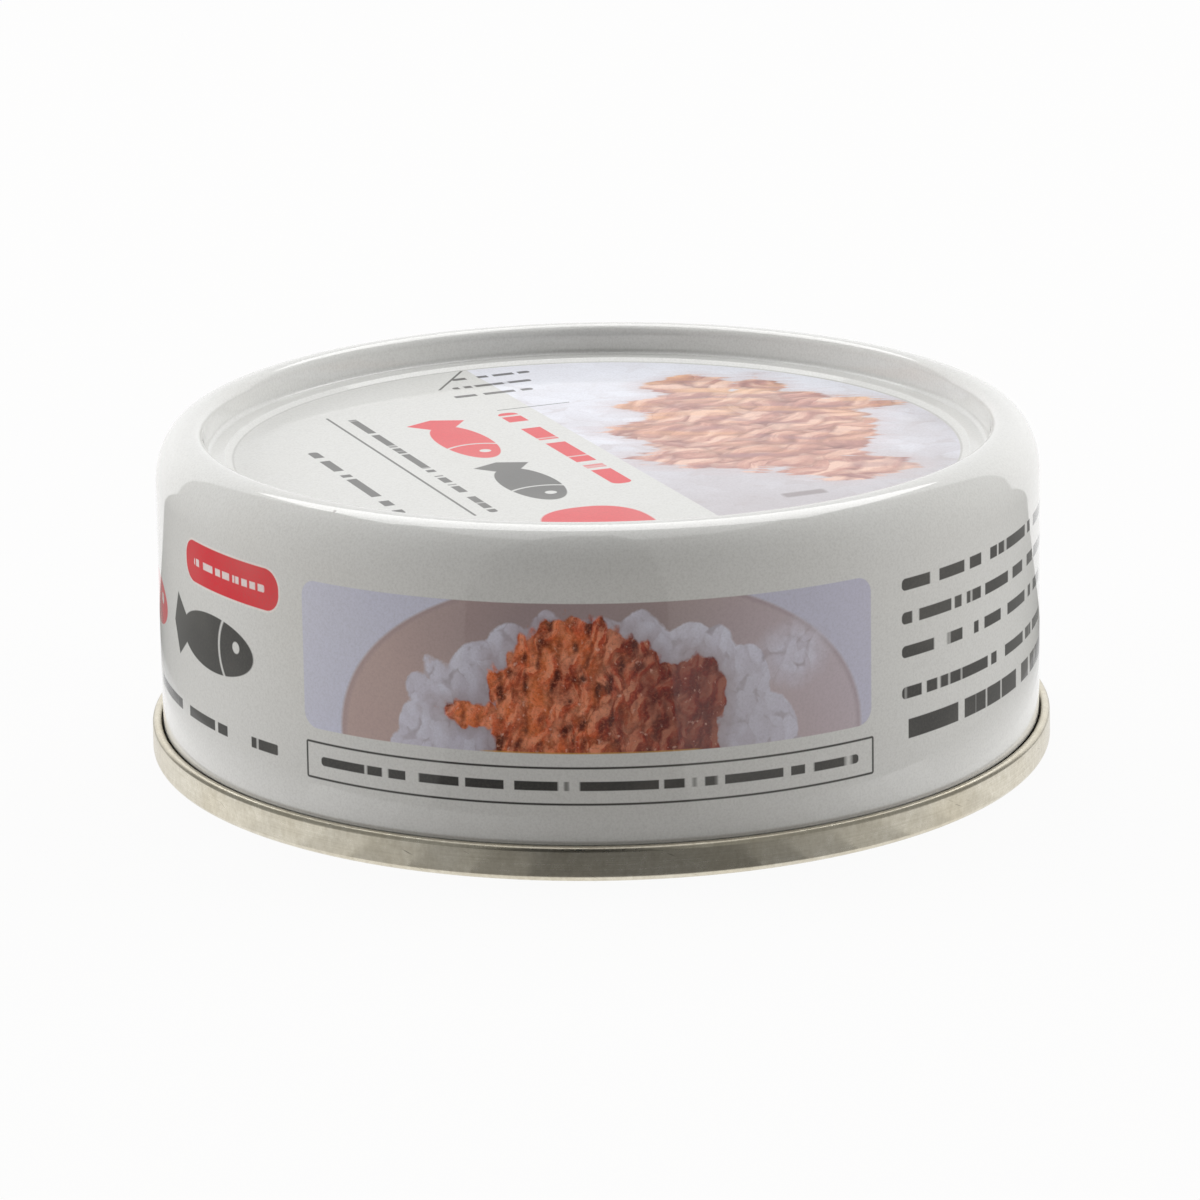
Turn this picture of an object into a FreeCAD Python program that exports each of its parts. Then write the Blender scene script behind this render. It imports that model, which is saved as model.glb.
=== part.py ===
"""Shut tuna can: a drawn, printed steel can standing on its double-seamed easy-open end.

Millimetres, +Z up. The origin is at the centre of the circle the can stands on.
The drawn can and what it holds are one solid, because the can is shut. Its open
side faces down and is closed by the end, whose ring-pull tab lies in the recess.
"""
import FreeCAD, Part
import math
import os

from FreeCAD import Vector

# ---- drawn can -------------------------------------------------------------
can_height = 31.3          # standing plane to the crest of the rim
wall_radius = 41.9         # outside of the drawn wall, at the seam
wall_draft = 0.58          # degrees the wall leans in, so that it leaves its die
shoulder_width = 3.45      # elliptical shoulder, measured across
shoulder_height = 5.0      # and up to the crest
crest_round = 1.15         # inner round of the crest
dish_wall_draft = 7.0      # degrees the dish's wall leans in
ledge_depth = 2.9          # crest down to the ledge round the dish
ledge_round = 0.55         # round between the dish's wall and the ledge
ledge_width = 1.75         # foot of the dish's wall to the step
step_depth = 0.32          # ledge down to the printed panel
step_width = 0.75          # run of the step's slope
step_round = 0.45
body_sheet = 0.20          # steel of the drawn can

# ---- double seam -----------------------------------------------------------
seam_height = 3.2
seam_reach = 1.05          # how far the seam stands out past the wall
seam_outer_round = 0.60
seam_inner_round = 0.42
seam_fold_round = 0.45
seam_lean = 0.06           # the seam is a little narrower at its fold
cover_hook_end = 1.1       # height at which the end's hook stops
cover_hook_gap = 0.05      # lining compound between wall and cover hook
body_hook_end = 2.4        # height at which the can's hook stops
hook_gap = 0.10            # lining compound between hooks and sheets

# ---- easy-open end ---------------------------------------------------------
end_sheet = 0.24           # steel of the end
countersink_depth = 4.4    # standing plane to the bottom of the groove
countersink_width = 1.71   # panel wall to the seam's chuck wall
countersink_round = 0.64
chuck_wall_lean = 0.34     # how far the chuck wall leans in above the seam
panel_recess = 2.45        # standing plane to the panel
panel_round = 0.50
score_inset = 1.55         # score line, inside the panel wall
score_depth = 0.12
score_width = 0.30
bead_inset = 6.05          # panel wall to the middle of the stiffening bead
bead_width = 2.2
bead_depth = 0.40
well_inset = 14.95         # panel wall to the edge of the finger well
well_depth = 0.65
pressing_slope = 0.50      # half the run of a pressed slope
pressing_round = 0.60

# ---- rivet and ring-pull tab -----------------------------------------------
nose_to_score = 0.8        # tip of the tab's nose, on the +Y side, to the score line
rivet_stem_radius = 1.9
rivet_head_radius = 3.0
rivet_head_height = 0.50
rivet_head_round = 0.2
rivet_fit = 0.15           # play between the stem and the tab's hole
tab_clearance = 0.12       # between the curled edge and the panel
tab_curl_radius = 0.72     # curled edge of the tab
tab_sheet = 0.42           # two layers of the tab's sheet, pressed together
tab_sheet_inset = 0.18     # upper side of the curl to the pressed sheet
tab_nose_reach = 8.0       # rivet to the tip of the nose
tab_ring_reach = 16.6      # rivet to the far side of the ring
tab_nose_width = 14.5
tab_ring_width = 19.5
finger_hole_width = 13.6
finger_hole_length = 9.6
finger_hole_corner = 4.4
finger_hole_margin = 2.3   # tab's far side to the finger hole
tongue_radius = 4.6        # tongue left round the rivet
tongue_slot = 0.7
tongue_hinge = 70.0        # degrees of the circle that stay uncut

shortest_line = 1e-6       # a stretch shorter than this is left out of a path


def rounded_path(corners):
    """Wire in the XZ plane through (radius, height, round) corners, rounds as tangent arcs."""
    points = [Vector(radius, 0, height) for radius, height, _ in corners]
    edges = []
    start = points[0]
    for index in range(1, len(points) - 1):
        corner = points[index]
        arrive = (corner - points[index - 1]).normalize()
        leave = (points[index + 1] - corner).normalize()
        turn = arrive.getAngle(leave)
        setback = corners[index][2] * math.tan(turn / 2)
        if setback < shortest_line:
            edges.append(Part.LineSegment(start, corner).toShape())
            start = corner
            continue
        first = corner - arrive * setback
        last = corner + leave * setback
        inward = (leave - arrive).normalize()
        to_centre = corners[index][2] / math.cos(turn / 2)
        middle = corner + inward * (to_centre - corners[index][2])
        if start.distanceToPoint(first) > shortest_line:
            edges.append(Part.LineSegment(start, first).toShape())
        edges.append(Part.Arc(first, middle, last).toShape())
        start = last
    edges.append(Part.LineSegment(start, points[-1]).toShape())
    return Part.Wire(edges)


def closed_face(wire, more_points):
    """Face between a wire and the straight lines through more_points back to its start."""
    first = wire.OrderedVertexes[0].Point
    last = wire.OrderedVertexes[-1].Point
    outline = [last] + [Vector(radius, 0, height) for radius, height in more_points] + [first]
    edges = list(wire.OrderedEdges)
    for begin, end in zip(outline, outline[1:]):
        edges.append(Part.LineSegment(begin, end).toShape())
    return Part.Face(Part.Wire(edges))


def turned(face):
    """Full turn of a profile about the can's axis."""
    return face.revolve(Vector(0, 0, 0), Vector(0, 0, 1), 360)


def end_radii():
    """Radii of the end's chuck wall, of its panel wall and of its score line."""
    chuck_radius = wall_radius - body_sheet - end_sheet
    panel_wall = chuck_radius - countersink_width
    return chuck_radius, panel_wall, panel_wall - score_inset


def end_corners():
    """Outer surface of the end: panel, countersink, chuck wall, seam and cover hook."""
    chuck_radius, panel_wall, _ = end_radii()
    seam_radius = wall_radius + seam_reach
    well_radius = panel_wall - well_inset
    bead_radius = panel_wall - bead_inset
    bead_inside = bead_radius - bead_width / 2
    bead_outside = bead_radius + bead_width / 2
    bead_height = panel_recess + bead_depth
    well_height = panel_recess + well_depth
    slope = pressing_slope
    hook_radius = wall_radius + cover_hook_gap
    return [
        (0, well_height, 0),
        (well_radius - slope, well_height, pressing_round),
        (well_radius + slope, panel_recess, pressing_round),
        (bead_inside - slope, panel_recess, pressing_round / 2),
        (bead_inside + slope, bead_height, pressing_round / 2),
        (bead_outside - slope, bead_height, pressing_round / 2),
        (bead_outside + slope, panel_recess, pressing_round / 2),
        (panel_wall, panel_recess, panel_round),
        (panel_wall, countersink_depth, countersink_round),
        (chuck_radius - chuck_wall_lean, countersink_depth, countersink_round),
        (chuck_radius, seam_height, 2 * countersink_round),
        (chuck_radius, 0, seam_inner_round),
        (seam_radius, 0, seam_outer_round),
        (seam_radius - seam_lean, seam_height, seam_fold_round),
        (hook_radius, seam_height, seam_fold_round),
        (hook_radius, cover_hook_end, 0),
    ]


def end_below():
    """Everything below the end's panel and chuck wall, inside the seam."""
    corners = end_corners()[:12]
    chuck_radius = corners[-1][0]
    path = rounded_path(corners)
    return turned(closed_face(path, [(chuck_radius, -seam_height), (0, -seam_height)]))


def score_groove():
    """Fine vee round the panel, where the end tears open."""
    _, _, radius = end_radii()
    vee = [
        Vector(radius - score_width / 2, 0, panel_recess),
        Vector(radius, 0, panel_recess + score_depth),
        Vector(radius + score_width / 2, 0, panel_recess),
    ]
    return turned(Part.Face(Part.makePolygon(vee + vee[:1])))


def tab_levels():
    """Heights of the tab's curl centre and of the lower side of its pressed sheet."""
    curl_centre = panel_recess - tab_clearance - tab_curl_radius
    sheet_top = curl_centre + tab_curl_radius - tab_sheet_inset
    return curl_centre, sheet_top - tab_sheet


def rivet_place():
    """Distance of the rivet from the can's axis, which puts the tab's nose just inside the score."""
    _, _, score_radius = end_radii()
    return score_radius - nose_to_score - tab_nose_reach


def rivet():
    """Button drawn from the end's own sheet, headed over the tab."""
    _, sheet_bottom = tab_levels()
    place = Vector(0, rivet_place(), sheet_bottom)
    stem = Part.makeCylinder(rivet_stem_radius, panel_recess - sheet_bottom + end_sheet / 2, place)
    head_place = place - Vector(0, 0, rivet_head_height)
    head = Part.makeCylinder(rivet_head_radius, rivet_head_height, head_place)
    head_middle = head_place.z + rivet_head_height / 2
    lower_rim = [edge for edge in head.Edges if edge.BoundBox.ZMax < head_middle]
    head = head.makeFillet(rivet_head_round, lower_rim)
    return stem.fuse(head)


def end_shell():
    """Plain pressed sheet of the end, from its panel to the hook of the seam."""
    return turned(rounded_path(end_corners()).makeOffset2D(end_sheet, join=0, fill=True, openResult=True))


def can_end(shell):
    """Easy-open end: the pressed sheet with its score line and its rivet."""
    return shell.cut(score_groove()).fuse(rivet()).removeSplitter()


def can_profile():
    """Half section of the drawn can: hook, wall, shoulder, crest, dish wall, ledge, panel."""
    shoulder_base = can_height - shoulder_height
    wall_top_radius = wall_radius - (shoulder_base - seam_height) * math.tan(math.radians(wall_draft))
    crest_radius = wall_top_radius - shoulder_width
    hook_inside = wall_radius + cover_hook_gap + end_sheet + hook_gap
    hook_outside = hook_inside + body_sheet
    hook_bottom = end_sheet + hook_gap
    foot = [
        Vector(0, 0, panel_recess),
        Vector(wall_radius - body_sheet, 0, panel_recess),
        Vector(wall_radius - body_sheet, 0, hook_bottom),
        Vector(hook_outside, 0, hook_bottom),
        Vector(hook_outside, 0, body_hook_end),
        Vector(hook_inside, 0, body_hook_end),
        Vector(hook_inside, 0, hook_bottom + body_sheet),
        Vector(wall_radius, 0, hook_bottom + body_sheet),
        Vector(wall_radius, 0, seam_height),
        Vector(wall_top_radius, 0, shoulder_base),
    ]
    edges = [Part.LineSegment(begin, end).toShape() for begin, end in zip(foot, foot[1:])]

    centre = Vector(crest_radius, 0, shoulder_base)
    crest = Vector(crest_radius, 0, can_height)
    ellipse = Part.Ellipse(crest, foot[-1], centre)
    edges.append(Part.ArcOfEllipse(ellipse, 0, math.pi / 2).toShape())

    lean = math.radians(dish_wall_draft)
    ledge_height = can_height - ledge_depth
    wall_foot = crest_radius - crest_round / math.cos(lean)
    wall_foot -= (ledge_depth - crest_round) * math.tan(lean)
    crest_end = crest - Vector(crest_round * math.cos(lean), 0, crest_round * (1 - math.sin(lean)))
    turn = (math.pi / 2 - lean) / 2
    crest_middle = crest - Vector(crest_round * math.sin(turn), 0, crest_round * (1 - math.cos(turn)))
    edges.append(Part.Arc(crest, crest_middle, crest_end).toShape())

    step_edge = wall_foot - ledge_width
    panel_height = ledge_height - step_depth
    dish = rounded_path([
        (crest_end.x, crest_end.z, 0),
        (wall_foot, ledge_height, ledge_round),
        (step_edge, ledge_height, step_round),
        (step_edge - step_width, panel_height, 2 * step_round),
        (0, panel_height, 0),
    ])
    edges += dish.OrderedEdges
    edges.append(Part.LineSegment(Vector(0, 0, panel_height), foot[0]).toShape())
    return Part.Face(Part.Wire(edges))


def can_body(shell):
    """Drawn can and its contents, filled down to the inner face of the end."""
    return turned(can_profile()).cut(end_below()).cut(shell)


def tab_outline(inset):
    """Outline of the tab, smaller by inset: the nose's circle and the ring's, joined by tangents."""
    nose_radius = tab_nose_width / 2 - inset
    ring_radius = tab_ring_width / 2 - inset
    nose_centre = Vector(0, tab_nose_reach - tab_nose_width / 2, 0)
    ring_centre = Vector(0, -tab_ring_reach + tab_ring_width / 2, 0)
    lean = math.asin((ring_radius - nose_radius) / (nose_centre.y - ring_centre.y))
    right = Vector(math.cos(lean), math.sin(lean), 0)
    left = Vector(-right.x, right.y, 0)
    nose_tip = nose_centre + Vector(0, nose_radius, 0)
    ring_tip = ring_centre - Vector(0, ring_radius, 0)
    nose_right = nose_centre + right * nose_radius
    nose_left = nose_centre + left * nose_radius
    ring_right = ring_centre + right * ring_radius
    ring_left = ring_centre + left * ring_radius
    return Part.Wire([
        Part.LineSegment(ring_right, nose_right).toShape(),
        Part.Arc(nose_right, nose_tip, nose_left).toShape(),
        Part.LineSegment(nose_left, ring_left).toShape(),
        Part.Arc(ring_left, ring_tip, ring_right).toShape(),
    ])


def finger_hole(margin):
    """Outline of the finger hole, larger all round by the margin that its curl takes."""
    half_width = finger_hole_width / 2 + margin
    near = -tab_ring_reach + finger_hole_margin - margin
    far = near + finger_hole_length + 2 * margin
    corner = finger_hole_corner + margin
    box = Part.makePolygon([
        Vector(-half_width, near, 0),
        Vector(half_width, near, 0),
        Vector(half_width, far, 0),
        Vector(-half_width, far, 0),
        Vector(-half_width, near, 0),
    ])
    slab = Part.Face(box).extrude(Vector(0, 0, 1))
    upright = [edge for edge in slab.Edges if edge.BoundBox.ZLength > edge.Length / 2]
    rounded = slab.makeFillet(corner, upright)
    floor = min(rounded.Faces, key=lambda face: face.CenterOfMass.z)
    return floor.OuterWire


def curled_edge(route):
    """Round curl swept along a closed route."""
    begin = route.OrderedEdges[0]
    tangent = begin.tangentAt(begin.FirstParameter)
    section = Part.makeCircle(tab_curl_radius, begin.valueAt(begin.FirstParameter), tangent)
    return route.makePipeShell([Part.Wire(section)], True, False)


def tongue_cut():
    """C-shaped slot that frees the tongue, open at its hinge on the nose side."""
    below = Vector(0, 0, -tab_sheet)
    through = 3 * tab_sheet
    outer = Part.makeCylinder(tongue_radius + tongue_slot, through, below)
    inner = Part.makeCylinder(tongue_radius, through, below)
    half = math.radians(tongue_hinge / 2)
    reach = 2 * (tongue_radius + tongue_slot)
    side = Vector(reach * math.sin(half), reach * math.cos(half), 0)
    other_side = Vector(-side.x, side.y, 0)
    hinge = Part.Face(Part.makePolygon([below, below + side, below + other_side, below]))
    return outer.cut(inner).cut(hinge.extrude(Vector(0, 0, through)))


def pull_tab():
    """Ring-pull: pressed sheet with curled edges round its outline and its finger hole."""
    curl_centre, sheet_bottom = tab_levels()
    sheet_place = Vector(0, 0, sheet_bottom - curl_centre)
    plate = Part.Face(tab_outline(tab_curl_radius)).extrude(Vector(0, 0, tab_sheet))
    plate = plate.cut(Part.Face(finger_hole(tab_curl_radius)).extrude(Vector(0, 0, tab_sheet)))
    plate.translate(sheet_place)
    slot = tongue_cut()
    slot.translate(sheet_place)
    tab_underside = Vector(0, 0, -tab_curl_radius)
    stem_hole = Part.makeCylinder(rivet_stem_radius + rivet_fit, 2 * tab_curl_radius, tab_underside)
    plate = plate.cut(slot).cut(stem_hole)
    rims = [curled_edge(tab_outline(tab_curl_radius)), curled_edge(finger_hole(tab_curl_radius))]
    tab = plate.fuse(rims).removeSplitter()
    tab.translate(Vector(0, rivet_place(), curl_centre))
    return tab


def build():
    """Writes each piece to its own file."""
    shell = end_shell()
    pieces = {"can_body": can_body(shell), "can_end": can_end(shell), "pull_tab": pull_tab()}
    os.makedirs("parts", exist_ok=True)
    for node, shape in pieces.items():
        shape.exportStep("parts/" + node + ".step")


build()
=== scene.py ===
"""Finish of the shut tuna can: printed enamel, tinplate end and ring-pull, on a pale floor.

Sizes are in millimetres and become metres where a mesh is made. +Z is up and -Y is the front.
"""

import math

import bpy
from mathutils import Matrix, Vector


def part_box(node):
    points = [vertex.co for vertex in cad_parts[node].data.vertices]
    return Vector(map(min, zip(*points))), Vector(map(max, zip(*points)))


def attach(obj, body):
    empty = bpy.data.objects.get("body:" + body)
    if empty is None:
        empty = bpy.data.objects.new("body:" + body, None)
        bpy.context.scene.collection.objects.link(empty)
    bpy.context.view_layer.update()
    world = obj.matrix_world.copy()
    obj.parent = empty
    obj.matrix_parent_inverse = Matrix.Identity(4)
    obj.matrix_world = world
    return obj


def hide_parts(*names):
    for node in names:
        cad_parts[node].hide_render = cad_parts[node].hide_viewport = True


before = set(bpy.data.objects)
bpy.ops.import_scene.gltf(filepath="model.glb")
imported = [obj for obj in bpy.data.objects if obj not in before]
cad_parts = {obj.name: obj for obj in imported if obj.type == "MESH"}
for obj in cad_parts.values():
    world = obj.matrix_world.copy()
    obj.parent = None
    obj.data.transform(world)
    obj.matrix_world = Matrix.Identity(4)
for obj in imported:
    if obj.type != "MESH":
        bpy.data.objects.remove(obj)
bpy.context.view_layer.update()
MM = 0.001


def box_mm(node):
    """Lowest and highest corner of a CAD node in millimetres."""
    return [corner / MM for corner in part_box(node)]


_, body_high = box_mm("can_body")
end_low, end_high = box_mm("can_end")
tab_low, tab_high = box_mm("pull_tab")

# ---- sizes of the drawn can --------------------------------------------------
can_height = body_high.z
seam_radius = end_high.x - 0.005
seam_reach = 1.05
seam_height = 3.2
wall_radius = seam_radius - seam_reach
wall_draft = 0.58
shoulder_width = 3.45
shoulder_height = 5.0
crest_round = 1.15
dish_wall_draft = 7.0
ledge_depth = 2.9
ledge_round = 0.55
ledge_width = 1.75
step_depth = 0.32
step_width = 0.75
step_round = 0.45
body_sheet = 0.20
panel_height = can_height - ledge_depth - step_depth
shoulder_base = can_height - shoulder_height
wall_top_radius = wall_radius - (shoulder_base - seam_height) * math.tan(math.radians(wall_draft))
crest_radius = wall_top_radius - shoulder_width
panel_edge = crest_radius - 4.0
wall_in_seam = 0.3              # how far the printed wall goes down inside the seam
contents_gap = 0.4              # from the end's countersink up to the hidden face
wall_rings = 6
shoulder_rings = 30

# ---- sizes of the end and its rivet ------------------------------------------
end_sheet = 0.24
countersink_top = 4.4
countersink_width = 1.71
countersink_round = 0.64
chuck_wall_lean = 0.34
panel_recess = 2.45
panel_round = 0.50
score_inset = 1.55
score_depth = 0.12
score_width = 0.30
bead_inset = 6.05
bead_width = 2.2
bead_depth = 0.40
well_inset = 14.95
well_depth = 0.65
pressing_slope = 0.50
pressing_round = 0.60
seam_inner_round = 0.42
seam_outer_round = 0.60
seam_fold_round = 0.45
seam_lean = 0.06
cover_hook_gap = 0.05
cover_hook_end = 1.1
nose_reach = 8.0
rivet_y = tab_high.y - nose_reach
rivet_head_radius = 3.0
rivet_head_height = 0.50
rivet_head_round = 0.2
rivet_stem_radius = 1.9
rivet_under_tab = 0.34          # underside of the rivet's head, above the tab's lowest point

turn_steps = 354                # faces round the can, a multiple of strip_count
arc_step = math.radians(7.5)    # largest turn between two points of a round
on_axis = 1e-6                  # nearer than this to the axis, a ring is one point
same_place = 1e-5               # nearer than this to each other, two rings are in one place
same_normal = 0.02              # and with normals this close, they are one ring


# ---- profiles ------------------------------------------------------------------
def line_normal(begin, end):
    """Unit normal to the right of the way from begin to end, in the half section."""
    run = Vector((end[0] - begin[0], end[1] - begin[1])).normalized()
    return Vector((run.y, -run.x))


def arc_points(centre, radius, first, last, bulge):
    """Points and normals of an arc between two angles; bulge is 1 if convex and -1 if hollow."""
    count = max(2, math.ceil(abs(last - first) / arc_step))
    points = []
    for index in range(count + 1):
        angle = first + (last - first) * index / count
        ray = Vector((math.cos(angle), math.sin(angle)))
        points.append((centre + ray * radius, ray * bulge))
    return points


def rounded_path(corners):
    """Points and normals along (radius, height, round) corners, the rounds as tangent arcs."""
    places = [Vector(corner[:2]) for corner in corners]
    path = [(places[0], line_normal(places[0], places[1]))]
    for index in range(1, len(places) - 1):
        before, corner, after = places[index - 1:index + 2]
        arrive = (corner - before).normalized()
        leave = (after - corner).normalized()
        turn = arrive.angle_signed(leave)
        radius = corners[index][2]
        if radius == 0 or abs(turn) < 1e-6:
            path.append((corner, line_normal(before, corner)))
            path.append((corner, line_normal(corner, after)))
            continue
        setback = radius * math.tan(abs(turn) / 2)
        bulge = 1 if turn < 0 else -1
        start_normal = line_normal(before, corner)
        end_normal = line_normal(corner, after)
        centre = corner - arrive * setback - start_normal * radius * bulge
        first = math.atan2(start_normal.y * bulge, start_normal.x * bulge)
        sweep = Vector(start_normal).angle_signed(end_normal)
        path += arc_points(centre, radius, first, first - sweep, bulge)
    path.append((places[-1], line_normal(places[-2], places[-1])))
    return path


def drawn_can_path():
    """Outside of the drawn can, from the seam up the wall, over the crest and down to the panel."""
    outward = Vector((1, 0))
    path = [
        (Vector((wall_radius, seam_height - wall_in_seam)), outward),
        (Vector((wall_radius, seam_height)), outward),
    ]
    lean = math.radians(wall_draft)
    wall_normal = Vector((math.cos(lean), math.sin(lean)))
    for ring in range(wall_rings):
        share = ring / wall_rings
        radius = wall_radius + (wall_top_radius - wall_radius) * share
        height = seam_height + (shoulder_base - seam_height) * share
        path.append((Vector((radius, height)), wall_normal))
    for ring in range(shoulder_rings + 1):
        angle = math.pi / 2 * ring / shoulder_rings
        across, up = math.cos(angle), math.sin(angle)
        radius = crest_radius + shoulder_width * across
        height = shoulder_base + shoulder_height * up
        normal = Vector((across / shoulder_width, up / shoulder_height)).normalized()
        path.append((Vector((radius, height)), normal))
    dish_lean = math.radians(dish_wall_draft)
    crest_centre = Vector((crest_radius, can_height - crest_round))
    path += arc_points(crest_centre, crest_round, math.pi / 2, math.pi - dish_lean, 1)[1:]
    crest_end = path[-1][0]
    ledge_height = can_height - ledge_depth
    wall_foot = crest_end.x - (crest_end.y - ledge_height) * math.tan(dish_lean)
    step_edge = wall_foot - ledge_width
    path += rounded_path([
        (crest_end.x, crest_end.y, 0),
        (wall_foot, ledge_height, ledge_round),
        (step_edge, ledge_height, step_round),
        (step_edge - step_width, panel_height, 2 * step_round),
        (0, panel_height, 0),
    ])[1:]
    return path


def drawn_can_underside():
    """Hidden face of the contents over the end, from the axis out to the foot of the wall."""
    roof = countersink_top + end_sheet + contents_gap
    inside = wall_radius - body_sheet
    return rounded_path([
        (0, roof, 0),
        (inside, roof, 0),
        (inside, seam_height - wall_in_seam, 0),
        (wall_radius, seam_height - wall_in_seam, 0),
    ])


def end_corners(scored):
    """Corners of the end's visible side: panel, countersink, chuck wall, seam and hook."""
    chuck_radius = wall_radius - body_sheet - end_sheet
    panel_wall = chuck_radius - countersink_width
    well_radius = panel_wall - well_inset
    bead_radius = panel_wall - bead_inset
    score_radius = panel_wall - score_inset
    bead_inside = bead_radius - bead_width / 2
    bead_outside = bead_radius + bead_width / 2
    bead_height = panel_recess + bead_depth
    hook_radius = wall_radius + cover_hook_gap
    slope = pressing_slope
    score = [
        (score_radius - score_width / 2, panel_recess, 0),
        (score_radius, panel_recess + score_depth, 0),
        (score_radius + score_width / 2, panel_recess, 0),
    ]
    return [
        (0, panel_recess + well_depth, 0),
        (well_radius - slope, panel_recess + well_depth, pressing_round),
        (well_radius + slope, panel_recess, pressing_round),
        (bead_inside - slope, panel_recess, pressing_round / 2),
        (bead_inside + slope, bead_height, pressing_round / 2),
        (bead_outside - slope, bead_height, pressing_round / 2),
        (bead_outside + slope, panel_recess, pressing_round / 2),
        *(score if scored else []),
        (panel_wall, panel_recess, panel_round),
        (panel_wall, countersink_top, countersink_round),
        (chuck_radius - chuck_wall_lean, countersink_top, countersink_round),
        (chuck_radius, seam_height, 2 * countersink_round),
        (chuck_radius, end_low.z, seam_inner_round),
        (seam_radius, end_low.z, seam_outer_round),
        (seam_radius - seam_lean, seam_height, seam_fold_round),
        (hook_radius, seam_height, seam_fold_round),
        (hook_radius, cover_hook_end, 0),
    ]


def end_path():
    """Closed section of the end's sheet: out to the hook and back along the other side."""
    visible = rounded_path(end_corners(scored=True))
    plain = rounded_path(end_corners(scored=False))
    hidden = [(place - normal * end_sheet, -normal) for place, normal in reversed(plain)]
    hidden[-1] = (Vector((0, hidden[-1][0].y)), hidden[-1][1])
    return visible + hidden


# ---- meshes ----------------------------------------------------------------------
def new_object(name, vertices, faces):
    """Mesh object in the scene, from vertices in metres."""
    mesh = bpy.data.meshes.new(name)
    mesh.from_pydata(vertices, [], faces)
    made = bpy.data.objects.new(name, mesh)
    bpy.context.scene.collection.objects.link(made)
    return made


def rings_of(path):
    """The path's points and normals, without those that repeat the one before."""
    rings = []
    for point, normal in path:
        if rings and (point - rings[-1][0]).length < same_place:
            if (normal - rings[-1][1]).length < same_normal:
                continue
        rings.append((point, normal))
    return rings


def turned_vertices(rings, place):
    """Vertices in metres and their normals, and the number of the first one of each ring."""
    vertices, normals, first = [], [], []
    for point, normal in rings:
        first.append(len(vertices))
        for step in range(1 if point.x < on_axis else turn_steps):
            angle = 2 * math.pi * step / turn_steps
            ray = Vector((math.sin(angle), -math.cos(angle)))
            x = place[0] + ray.x * point.x
            y = place[1] + ray.y * point.x
            vertices.append((x * MM, y * MM, point.y * MM))
            normals.append((ray.x * normal.x, ray.y * normal.x, normal.y))
    return vertices, normals, first


def turned_faces(rings, first):
    """Faces between the rings, and where each of their corners is, for the bake map."""
    faces, corners = [], []
    for ring in range(len(rings) - 1):
        (low, _), (high, _) = rings[ring], rings[ring + 1]
        if (low - high).length < same_place:
            continue
        for step in range(turn_steps):
            after = (step + 1) % turn_steps
            quad = [(ring, step), (ring, after), (ring + 1, after), (ring + 1, step)]
            if low.x < on_axis:
                quad.pop(1)
            elif high.x < on_axis:
                quad.pop(2)
            face = []
            for corner_ring, corner_step in quad:
                if rings[corner_ring][0].x < on_axis:
                    face.append(first[corner_ring])
                    turn = step + 0.5
                else:
                    face.append(first[corner_ring] + corner_step)
                    turn = step + 1 if corner_step == after else step
                corners.append((ring, corner_ring, step, turn))
            faces.append(face)
    return faces, corners


def turned_mesh(name, path, map_of=None, place=(0, 0)):
    """Piece turned from a path of points and exact normals; map_of lays out its bake map."""
    rings = rings_of(path)
    vertices, normals, first = turned_vertices(rings, place)
    faces, corners = turned_faces(rings, first)
    piece = new_object(name, vertices, faces)
    mesh = piece.data
    mesh.polygons.foreach_set("use_smooth", [True] * len(faces))
    if map_of:
        place_of = map_of(rings)
        layer = mesh.uv_layers.new(name="OFBake")
        for loop, corner in enumerate(corners):
            layer.data[loop].uv = place_of(*corner)
    mesh.normals_split_custom_set_from_vertices(normals)
    return piece


def joined(name, pieces):
    """One object from several meshes."""
    bpy.ops.object.select_all(action="DESELECT")
    for piece in pieces:
        piece.select_set(True)
    bpy.context.view_layer.objects.active = pieces[0]
    bpy.ops.object.join()
    pieces[0].name = name
    return pieces[0]


# ---- bake map of the can -----------------------------------------------------------
map_side = 180.0         # side of the square map, in millimetres of the can's surface
map_margin = 1.5
map_slack = 0.01         # how far inside the wall's radius a ring still counts as its foot
strip_count = 3          # the wall lies in the map as this many strips
strip_start = 290.0      # degrees round the can, from the front, at which the first strip starts
hidden_scale = 0.25      # the hidden side takes little of the map


def surface_lengths(rings):
    """Distance along the section at each ring."""
    lengths = [0.0]
    for (before, _), (after, _) in zip(rings, rings[1:]):
        lengths.append(lengths[-1] + (after - before).length)
    return lengths


def can_map(rings):
    """Function that places a corner in the can's map: strips for the wall, discs for the rest."""
    lengths = surface_lengths(rings)
    radii = [point.x for point, _ in rings]
    foot = next(index for index, radius in enumerate(radii) if radius > wall_radius - map_slack)
    crest = max(range(len(rings)), key=lambda index: rings[index][0].y)
    strip_turns = turn_steps / strip_count
    strip_length = 2 * math.pi * wall_radius / strip_count
    strip_height = lengths[crest] - lengths[foot]
    dish_reach = lengths[-1] - lengths[crest]
    disc_x = strip_length + 2 * map_margin + dish_reach
    hidden_y = 2 * dish_reach + 3 * map_margin + lengths[foot] * hidden_scale

    def place(face_ring, ring, step, turn):
        if foot <= face_ring < crest:
            start = (step + 0.5 - strip_start * turn_steps / 360) % turn_steps
            strip = int(start // strip_turns)
            across = (start - strip * strip_turns + turn - step - 0.5) / strip_turns
            x = map_margin + across * strip_length
            y = map_margin + strip * (strip_height + map_margin) + lengths[ring] - lengths[foot]
            return x / map_side, y / map_side
        angle = 2 * math.pi * turn / turn_steps
        if face_ring >= crest:
            reach = lengths[-1] - lengths[ring]
            centre = (disc_x, map_margin + dish_reach)
        else:
            reach = lengths[ring] * hidden_scale
            centre = (disc_x, hidden_y)
        x = centre[0] + reach * math.sin(angle)
        y = centre[1] - reach * math.cos(angle)
        return x / map_side, y / map_side

    return place


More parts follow.
